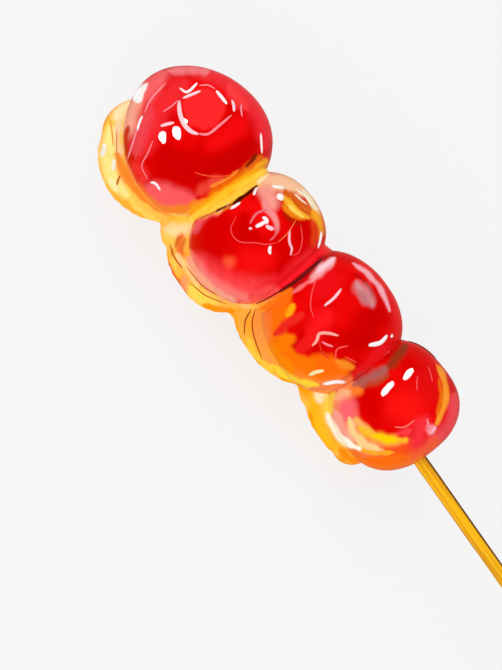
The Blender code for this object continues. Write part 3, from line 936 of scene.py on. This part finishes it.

# %% [markdown]
# ## Threads and drops of sugar
# Thin ridges and small drops of sugar lie on the film and on the lobes. They could be a bump on the film,
# but they catch the light as real ridges do only if they are ridges. Their colours are mostly painted light:
# the white, blush and rose ones are painted highlights and reflections, and the dark red ones in the seams
# and along the fourth fruit's upper edge are painted shade. Each is a curve laid on the fruit or the
# run-off, thin at its ends and partly sunk in.

# %% Threads
# White and blush are painted highlights, and rose and faint are painted reflections, carried by the threads
# as colour.
WHITE_HIGHLIGHT = (255, 248, 250)
BLUSH_HIGHLIGHT = (255, 208, 218)
ROSE_REFLECTION = (253, 140, 150)
FAINT_REFLECTION = (252, 70, 76)
SYRUP = (210, 112, 24)
# Syrup and the darker brown are thin brown lines along the lobes.
DARK_BROWN_LINE = (186, 84, 8)
THREADS = {
    "berry_1": [
        ([(-39.6, -10), (-38, -10.1), (-35.9, -10.2)], 0.8, WHITE_HIGHLIGHT),
        ([(-43.3, -7.6), (-42.9, -5.4), (-43.2, -4.4), (-44.6, -3.9)], 0.7, WHITE_HIGHLIGHT),
        ([(-41.5, -7.2), (-42, -5), (-42.4, -3.2)], 0.7, (255, 228, 236)),
        ([(-42.4, -2.2), (-40.4, -0.9), (-38, -0.2), (-35.8, -0.4), (-34.2, -1.4)], 1.1, BLUSH_HIGHLIGHT),
        ([(-34.4, -1.3), (-33, -3.2), (-33.1, -6.4), (-33.4, -9.6)], 0.6, ROSE_REFLECTION),
        ([(-42.6, -7.6), (-41.6, -9.2), (-40, -10)], 0.4, ROSE_REFLECTION),
        ([(-36, -11.6), (-34.8, -11.2), (-33.7, -10.5)], 0.8, (255, 214, 222)),
        ([(-34.2, -12.8), (-33.2, -12), (-31.8, -11.3)], 0.5, ROSE_REFLECTION),
        ([(-26.6, -12.5), (-25, -11.5), (-22.9, -10.2)], 0.8, WHITE_HIGHLIGHT),
        ([(-31.6, 13), (-30.8, 12.2), (-29, 12.2)], 0.8, WHITE_HIGHLIGHT),
        ([(-40.3, 4.2), (-39.8, 2.8), (-39.2, 1.4)], 0.8, BLUSH_HIGHLIGHT),
        ([(-44.3, 6.1), (-43.4, 7.6), (-42.3, 8.9)], 0.8, WHITE_HIGHLIGHT),
        ([(-47.2, -2), (-46.2, 2.4), (-44.6, 5.4)], 0.6, ROSE_REFLECTION),
        ([(-42.4, 9), (-40.4, 11.6), (-38.6, 14)], 0.7, ROSE_REFLECTION),
        ([(-43.6, 5.6), (-41.4, 8), (-39.4, 10.6), (-37.4, 13)], 0.3, FAINT_REFLECTION),
        ([(-38.6, 7.4), (-37, 10), (-35.6, 12.4), (-32.4, 13.1)], 0.35, ROSE_REFLECTION),
        ([(-42.6, -2), (-42.4, 0), (-42.5, 2)], 0.4, ROSE_REFLECTION),
        ([(-22.8, -2.4), (-24.2, 0.2), (-26.2, 2.6), (-28, 4)], 0.35, (255, 70, 30)),
        ([(-49.4, 2.6), (-48.9, 4.4), (-48, 5.8)], 1.4, WHITE_HIGHLIGHT),
    ],
    "berry_2": [
        ([(-16, -7.9), (-15, -8.9), (-14.1, -10)], 1.1, (255, 246, 228)),
        ([(-13.5, -8.6), (-12.5, -7.5)], 1.9, (255, 252, 240)),
        ([(-12.4, -11.8), (-10, -12.5), (-7, -12.6)], 0.8, (255, 248, 224)),
        ([(-11.8, -10.9), (-10, -11.3), (-8.4, -11.8)], 0.6, (255, 240, 214)),
        ([(-12.4, -4.2), (-13, -1.8), (-12.1, 0.6)], 0.6, (238, 110, 120)),
        ([(-7.8, -3.6), (-6.8, -2.2), (-6.6, -0.8)], 0.5, (236, 96, 104)),
        ([(-11.7, -2.4), (-10.8, -2.8), (-9.9, -2.4)], 1.0, WHITE_HIGHLIGHT),
        ([(-10.5, -2.6), (-10.6, -1.2), (-10.8, 0)], 1.0, WHITE_HIGHLIGHT),
        ([(-9.8, -2), (-9, -2.3), (-8.1, -2.9)], 1.0, BLUSH_HIGHLIGHT),
        ([(-11.4, 0.9), (-10.9, 1.3)], 0.9, BLUSH_HIGHLIGHT),
        ([(-17.6, -5.2), (-17.2, -4.4), (-16.6, -3.6)], 0.7, WHITE_HIGHLIGHT),
        ([(-17, -0.4), (-17, 1), (-17.1, 2.2)], 0.8, WHITE_HIGHLIGHT),
        ([(-15, 2), (-13.8, 4.3), (-12, 5.1), (-10, 4.5), (-8, 2), (-6.3, 0.2), (-5.3, -2)], 0.3, FAINT_REFLECTION),
        ([(-5.3, -2), (-5.7, -4.8), (-7, -8)], 0.3, (255, 110, 60)),
        ([(-5.5, -8.1), (-3, -6.8), (-1.3, -5), (-0.9, -3.8), (-1.5, -2.8)], 0.35, FAINT_REFLECTION),
        ([(-6, -5.6), (-4, -4.1), (-2.5, -3.7), (-1.5, -2.6)], 0.7, (255, 186, 198)),
        ([(-5.6, -0.3), (-4.9, 0.5), (-4.1, 0.8)], 0.8, WHITE_HIGHLIGHT),
        ([(-1.8, -11), (-0.6, -9.8), (0.7, -8.3)], 1.0, WHITE_HIGHLIGHT),
    ],
    "berry_3": [
        ([(5.8, -4.5), (7.5, -2), (10, 0.2), (12.3, 1)], 0.4, FAINT_REFLECTION),
        ([(10.7, -7.4), (11.4, -5), (11.6, -2.3)], 0.7, BLUSH_HIGHLIGHT),
        ([(24.6, -9.7), (25, -7.5), (24, -5.2)], 1.2, WHITE_HIGHLIGHT),
        ([(25, -10.4), (25.4, -10.4)], 1.9, WHITE_HIGHLIGHT),
        ([(18.6, -1.1), (17, 0.3), (15.9, 2), (16.8, 3.4), (17.1, 4.8)], 0.8, (255, 172, 160)),
        ([(17.6, 2.6), (18.8, 2), (19.9, 1.2)], 0.6, (255, 130, 140)),
        ([(17.3, 3), (19.5, 3.9), (21.6, 3.3)], 0.4, (230, 40, 20)),
        ([(21.6, -1.5), (20.8, 0.8), (22.4, 2.4)], 0.35, (255, 90, 80)),
        ([(23, 0.4), (25.6, -1)], 0.35, (255, 80, 50)),
        ([(22.9, 5.8), (22.2, 7.4), (21.9, 9)], 1.1, (252, 234, 170)),
        ([(27.7, 3.4), (26.4, 5), (25.2, 7.6)], 1.3, WHITE_HIGHLIGHT),
    ],
    "berry_4": [
        # Painted shade: a dark red line along the fourth fruit's upper edge, from the seam.
        ([(28.2, -12.6), (29.6, -13.9), (31.6, -15), (34.6, -15.8)], 0.6, (96, 16, 4)),
        ([(35, -13), (36.6, -12.6), (38.4, -11.8)], 0.4, FAINT_REFLECTION),
        ([(35.4, -10), (36.6, -9), (38, -8.1)], 0.4, FAINT_REFLECTION),
        ([(44.2, -6.4), (46.2, -5.4)], 0.5, ROSE_REFLECTION),
        ([(46.6, -7), (47.3, -5.2)], 0.7, (255, 190, 206)),
        ([(42.9, -4), (42.8, -1.4), (41.6, 0.4)], 0.4, (255, 110, 104)),
    ],
    "run_off_sugar": [
        # Painted shade: a dark red line in the seam between the second and third fruits.
        ([(3, -8.2), (3.4, -4), (3.7, 0), (3.5, 4.4)], 0.9, (108, 2, 4)),
        ([(3.5, 3.8), (3.3, 6.4), (2.8, 9.6)], 0.45, (156, 18, 4)),
        # Painted highlights: white drops on the first lobe.
        ([(-44, 16.1), (-43, 17.2), (-42.1, 18.3)], 1.8, (255, 255, 244)),
        ([(-40.2, 16.4), (-39.2, 17.3), (-38.3, 18.1)], 1.4, (255, 255, 230)),
        ([(-35.2, 19.1), (-34.6, 19.5)], 0.7, (255, 244, 206)),
        ([(-47.8, 12.2), (-45, 13.6), (-42.6, 15)], 0.4, (238, 160, 70)),
        ([(-45, 12.4), (-41, 15.2), (-37.6, 16.6)], 0.35, (226, 146, 60)),
        ([(-36.6, 17.4), (-36, 18.4), (-35.3, 19.2)], 0.6, SYRUP),
        ([(-18.4, 17.2), (-15.6, 18), (-12.6, 18)], 0.5, SYRUP),
        ([(-12.6, 17.1), (-7, 16.6), (-3, 14.8), (-0.4, 13)], 0.35, SYRUP),
        ([(-9, 18.4), (-5, 17.3), (-1, 14.8)], 0.35, SYRUP),
        ([(3.2, 11), (4.4, 13.4), (6.8, 15.4)], 0.45, DARK_BROWN_LINE),
        ([(3.6, 10.2), (5.4, 12.3), (8.4, 13.9), (13.4, 15.3)], 0.4, DARK_BROWN_LINE),
    ],
}
SUNK = 0.35
THREAD_ROUNDNESS = 3
CAP_WELD_WITHIN = 0.001 * MM


def thread(piece, points, width, colour):
    """A tube along a drawn line on a piece, thinning to its ends and partly sunk in."""
    laid = laid_on(piece, points)
    radius = width * MM / 2
    data = bpy.data.curves.new("thread", "CURVE")
    data.dimensions = "3D"
    data.bevel_depth = radius
    data.bevel_resolution = THREAD_ROUNDNESS
    data.use_fill_caps = True
    spline = data.splines.new("POLY")
    spline.points.add(len(laid) - 1)
    for index, (point, (place, normal)) in enumerate(zip(spline.points, laid)):
        point.radius = thickness(index / (len(laid) - 1))
        point.co = (*(place - normal * radius * point.radius * SUNK), 1)
    made = bpy.data.objects.new("thread", data)
    bpy.context.scene.collection.objects.link(made)
    pick(made)
    bpy.ops.object.convert(target="MESH")
    made = bpy.context.object
    in_edit_mode(made, lambda: bpy.ops.mesh.remove_doubles(threshold=CAP_WELD_WITHIN))
    count = len(made.data.vertices)
    store(made, np.tile(rgb(*colour), (count, 1)), np.ones(count))
    return made


sugar, shader, place = new_finish("thread_sugar_and_painted_light")
set_inputs(
    shader,
    Base_Color=place.node("Attribute", {"attribute_name": PAINT}, {}, "Color"),
    Roughness=0.3,
    Coat_Weight=1.0,
    Coat_Roughness=0.03,
)
targets = {**coated, "run_off_sugar": run_off}
strands = [thread(targets[target], *line) for target, lines in THREADS.items() for line in lines]
pick(strands[0])
for strand in strands:
    strand.select_set(True)
bpy.ops.object.join()
threads = bpy.context.object
threads.name = "sugar_threads"
bpy.ops.object.shade_smooth()
threads.data.materials.append(sugar)
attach(threads, BODY)
print(f"threads: {triangles(threads)} triangles")

# %% [markdown]
# ## Glints
# A window shows in a glossy ball as a small bright patch. Where it shows depends on the ball, so a lamp
# placed by eye would be moved again and again. It is worked out instead: the patch is given on the
# fruit, and the lamp goes where the line of sight is mirrored to. Each lamp is linked to its own fruit
# and is seen by the gloss alone.

# %% Glints
GLINT_DISTANCE = 420 * MM
GLINT_BRIGHTNESS = 250


def glint(node, spot, length, width, slant):
    """A lamp whose mirror image shows on a fruit at a spot, with its size in mm and its slant in degrees."""
    piece = coated[node]
    place, normal = laid_on(piece, [spot])[0]
    sight = (camera_place - place).normalized()
    direction = 2 * sight.dot(normal) * normal - sight
    low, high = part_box(node)
    scale = 2 * GLINT_DISTANCE / ((high.z - low.z) / 2) * MM
    slant = math.radians(slant)
    side = along * math.cos(slant) - up_slope * math.sin(slant)
    watts = GLINT_BRIGHTNESS * math.pi**2 / 4 * length * width * scale**2
    lamp_place = place + direction * GLINT_DISTANCE
    turn = aimed(direction, side)
    lamp = area_lamp("glint_" + node, lamp_place, turn, length * scale, width * scale, watts)
    lamp.visible_diffuse = False
    lamp.visible_transmission = False
    group = bpy.data.collections.new(lamp.name)
    group.objects.link(piece)
    lamp.light_linking.receiver_collection = group
    print(f"{lamp.name}: a lamp of {length * scale / MM:.0f} by {width * scale / MM:.0f} mm")


glint("berry_1", (-37, 2.3), 2.3, 1.5, 10)
glint("berry_1", (-38.1, 5.2), 2.0, 1.7, 30)
glint("berry_4", (33.9, -8.6), 3.5, 0.9, 72)
glint("berry_4", (33.9, -3.2), 3.8, 1.2, 78)

# %% [markdown]
# ## The stick
# A bamboo stick is split and scraped, so it is never quite round, and one edge keeps some brown bark; its
# dark strip is also painted shade along the stick's upper edge. A plain cylinder would do for its outline.
# Here a small disc is extruded instead: first out to the full width, which makes the point inside the first
# fruit, and then in short steps, so that a slow wave can make it uneven.

# %% Shape of the stick
low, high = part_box("skewer")
STICK_RADIUS = (high.y - low.y) / 2
POINT_RADIUS = 0.4 * MM
POINT_LENGTH = 9 * MM
STICK_SIDES = 40
STICK_STEPS = 60
END_ROUND = 0.4 * MM
END_STEPS = ((0.7, 0.3), (0.3, 0.7))  # how far on and how much narrower, as shares of END_ROUND
STICK_WAVE = 0.12 * MM
STICK_WAVE_SIZE = 7 * MM
SMOOTH_BELOW = math.radians(50)

bpy.ops.mesh.primitive_circle_add(
    vertices=STICK_SIDES,
    radius=POINT_RADIUS,
    fill_type="NGON",
    location=(low.x, 0, AXIS_HEIGHT),
    rotation=(0, math.radians(90), 0),
)
stick = bpy.context.object
stick.name = "bamboo_stick"
bpy.ops.object.transform_apply(location=True, rotation=True, scale=True)


def extrude_end(reach, swell=1.0):
    """Carries the stick's end on by a length and scales it about the stick's middle."""
    bpy.ops.mesh.extrude_region_move(TRANSFORM_OT_translate={"value": (reach, 0, 0)})
    bpy.ops.transform.resize(value=(1, swell, swell), center_override=(0, 0, AXIS_HEIGHT))


bpy.ops.object.mode_set(mode="EDIT")
bpy.ops.mesh.select_all(action="SELECT")
extrude_end(POINT_LENGTH, STICK_RADIUS / POINT_RADIUS)
straight = high.x - low.x - POINT_LENGTH - END_ROUND
for _ in range(STICK_STEPS):
    extrude_end(straight / STICK_STEPS)
for further, narrower in END_STEPS:
    extrude_end(END_ROUND * further, 1 - narrower * END_ROUND / STICK_RADIUS)
bpy.ops.mesh.select_all(action="SELECT")
bpy.ops.mesh.normals_make_consistent(inside=False)
bpy.ops.object.mode_set(mode="OBJECT")
stick_texture = ripples("uneven_stick", STICK_WAVE_SIZE, 0)
apply(stick, "DISPLACE", texture=stick_texture, strength=STICK_WAVE, mid_level=0.5)
pick(stick)
bpy.ops.object.shade_smooth_by_angle(angle=SMOOTH_BELOW)
print(f"stick: {triangles(stick)} triangles")

# %% [markdown]
# Bamboo's fibres run the whole length of the stick as fine streaks. A wood picture wrapped round it would
# need a seam. Here it is cloudy noise pulled long, which also wavers the edges of the two darker strips: the
# bark on the upper side, turned toward the camera so that it is also painted shade along that edge, and a
# strip of painted shade along the lower edge. Its bump is slight, as the stick is scraped smooth.

# %% Bamboo
STICK_GOLD = rgb(250, 188, 0)
STICK_BROWN = rgb(222, 150, 0)
STICK_BARK_AND_EDGE_SHADE = rgb(104, 60, 0)
STICK_LOWER_EDGE_SHADE = rgb(168, 104, 8)
GRAIN_LENGTH = 30 * MM
GRAIN_WIDTH = 0.45 * MM
GRAIN_DETAIL = 3.0
GRAIN_MIDDLE = 0.5
GRAIN_EDGES = (0.35, 0.6)
GRAIN_BUMP = 0.4
GRAIN_DEPTH = 0.1 * MM
# The bark strip faces the stick's upper edge as the camera sees it, partly bark and partly painted shade;
# the lower strip is painted shade.
BARK_TURN = math.radians(14)
BARK_SIDE = up_slope * math.cos(BARK_TURN) + to_camera * math.sin(BARK_TURN)
BARK_EDGE = (0.84, 0.93)
BARK_WAVER = 0.2
LOWER_EDGE_SHADE_EDGES = (0.84, 0.98)
ROUGH_WOOD = 0.55
GRAIN_POLISH = 0.2

bamboo, shader, place = new_finish("golden_bamboo")
stretch = (1 / GRAIN_LENGTH, 1 / GRAIN_WIDTH, 1 / GRAIN_WIDTH)
grain_place = place.node("Mapping", {}, {"Vector": place, "Scale": stretch}, "Vector")
grain = grain_place.noise(1.0, GRAIN_DETAIL)
centred = place.node("Mapping", {}, {"Vector": place, "Location": (0, 0, -AXIS_HEIGHT)}, "Vector")
toward_bark = centred.dot(BARK_SIDE / STICK_RADIUS) + (grain - GRAIN_MIDDLE) * BARK_WAVER
bark_and_edge_shade = toward_bark.step(*BARK_EDGE)
lower_edge_shade = (0 - toward_bark).step(*LOWER_EDGE_SHADE_EDGES)
wood = grain.step(*GRAIN_EDGES).mixed(STICK_BROWN, STICK_GOLD)
relief = {"Height": grain, "Strength": GRAIN_BUMP, "Distance": GRAIN_DEPTH}
bump = grain.node("Bump", {}, relief, "Normal")
set_inputs(
    shader,
    Base_Color=bark_and_edge_shade.mixed(lower_edge_shade.mixed(wood, STICK_LOWER_EDGE_SHADE), STICK_BARK_AND_EDGE_SHADE),
    Roughness=ROUGH_WOOD - grain * GRAIN_POLISH,
    Specular_IOR_Level=0.2,
    Normal=bump,
)
stick.data.materials.append(bamboo)
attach(stick, BODY)
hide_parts("skewer")
